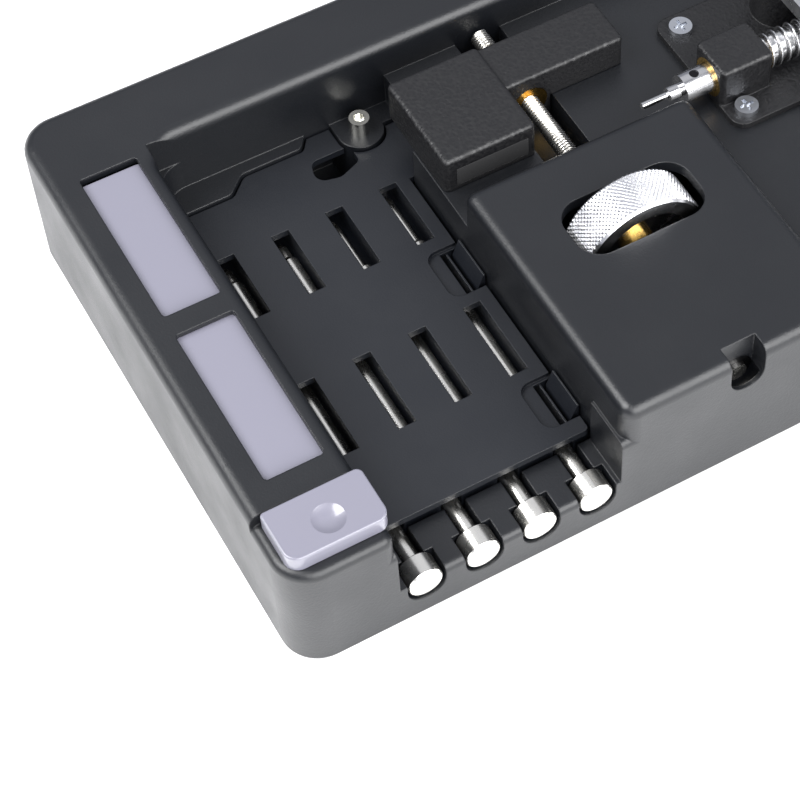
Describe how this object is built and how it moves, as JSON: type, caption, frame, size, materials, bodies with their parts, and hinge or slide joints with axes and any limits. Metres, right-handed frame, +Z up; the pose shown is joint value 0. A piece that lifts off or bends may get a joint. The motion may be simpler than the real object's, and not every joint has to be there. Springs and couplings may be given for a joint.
{
  "type": "bench pin press",
  "caption": "Bench pin press with a screw vise, a lever ram, a rack of slide-out punch pins and a storage strip with a clear sliding cover.",
  "frame": {"origin": "middle of the footprint, on the surface that the feet stand on", "axes": "+X to the right along the front edge, +Y from the front to the rear, +Z up"},
  "size_m": [0.165, 0.1186, 0.0402],
  "materials": {
    "case_black": "fine matte grain",
    "rack_black": "satin",
    "cast_black": "black wrinkle coat",
    "grip_black": "satin",
    "clear_cover": "frosted clear plastic, glossy tab",
    "bright_steel": "turned",
    "dark_steel": "black oxide",
    "zinc_steel": "zinc plated",
    "chrome": "polished with a knurled rim",
    "brass": "turned",
    "rubber": "matte",
    "pad_rubber": "matte"
  },
  "bodies": {
    "base": {"top_case": "case_black", "base_cover": "case_black", "case_screws": "zinc_steel", "rubber_feet": "rubber", "pin_rack": "rack_black", "rack_cover": "rack_black", "rack_latch_front": "rack_black", "rack_latch_rear": "rack_black", "rack_screw": "bright_steel", "bearing_front": "brass", "bearing_rear": "brass", "spacer_front": "brass", "spacer_rear": "brass", "fixed_jaw_pad": "pad_rubber", "press_frame": "cast_black", "bracket_screws": "zinc_steel", "ram_bush": "brass", "pivot_pin": "bright_steel", "retaining_ring": "dark_steel"},
    "wheel": {"thumbwheel": "chrome", "wheel_hub": "brass", "jaw_screw": "bright_steel"},
    "jaw": {"moving_jaw": "cast_black", "brass_nut": "brass", "moving_jaw_pad": "pad_rubber"},
    "lever": {"press_lever": "bright_steel", "lever_grip": "grip_black", "drive_pin": "bright_steel"},
    "ram": {"ram": "bright_steel", "ram_punch": "bright_steel", "ram_grub_screw": "dark_steel", "ram_spring": "bright_steel"},
    "cover": {"slide_cover": "clear_cover"},
    "pin_1": {"punch_pin_1": "bright_steel"},
    "pin_2": {"punch_pin_2": "bright_steel"},
    "pin_3": {"punch_pin_3": "bright_steel"},
    "pin_4": {"punch_pin_4": "bright_steel"}
  },
  "joints": [
    {"name": "wheel_spin", "type": "hinge", "parent": "base", "child": "wheel", "pos_m": [0.0117, -0.01855, 0.0238], "axis": [0, 1, 0], "range_deg": [-3600, 3600]},
    {"name": "jaw_slide", "type": "slide", "parent": "base", "child": "jaw", "axis": [0, -1, 0], "range_m": [-0.007, 0.007]},
    {"name": "lever_swing", "type": "hinge", "parent": "base", "child": "lever", "pos_m": [0.0685, 0.01685, 0.0368], "axis": [0, 0, -1], "range_deg": [0, 40]},
    {"name": "ram_slide", "type": "slide", "parent": "base", "child": "ram", "axis": [-1, 0, 0], "range_m": [0, 0.0082], "stiffness_N_per_m": 300, "deforming": ["ram_spring"]},
    {"name": "cover_slide", "type": "slide", "parent": "base", "child": "cover", "axis": [0, -1, 0], "range_m": [0, 0.08]},
    {"name": "pin_1_slide", "type": "slide", "parent": "base", "child": "pin_1", "axis": [0, -1, 0], "range_m": [0, 0.08]},
    {"name": "pin_2_slide", "type": "slide", "parent": "base", "child": "pin_2", "axis": [0, -1, 0], "range_m": [0, 0.08]},
    {"name": "pin_3_slide", "type": "slide", "parent": "base", "child": "pin_3", "axis": [0, -1, 0], "range_m": [0, 0.08]},
    {"name": "pin_4_slide", "type": "slide", "parent": "base", "child": "pin_4", "axis": [0, -1, 0], "range_m": [0, 0.08]}
  ],
  "couplings": [
    {"joint": "wheel_spin", "follows": "jaw_slide", "rad_per_m": 8975.9},
    {"joint": "lever_swing", "follows": "ram_slide", "rad_per_m": 85.05}
  ]
}
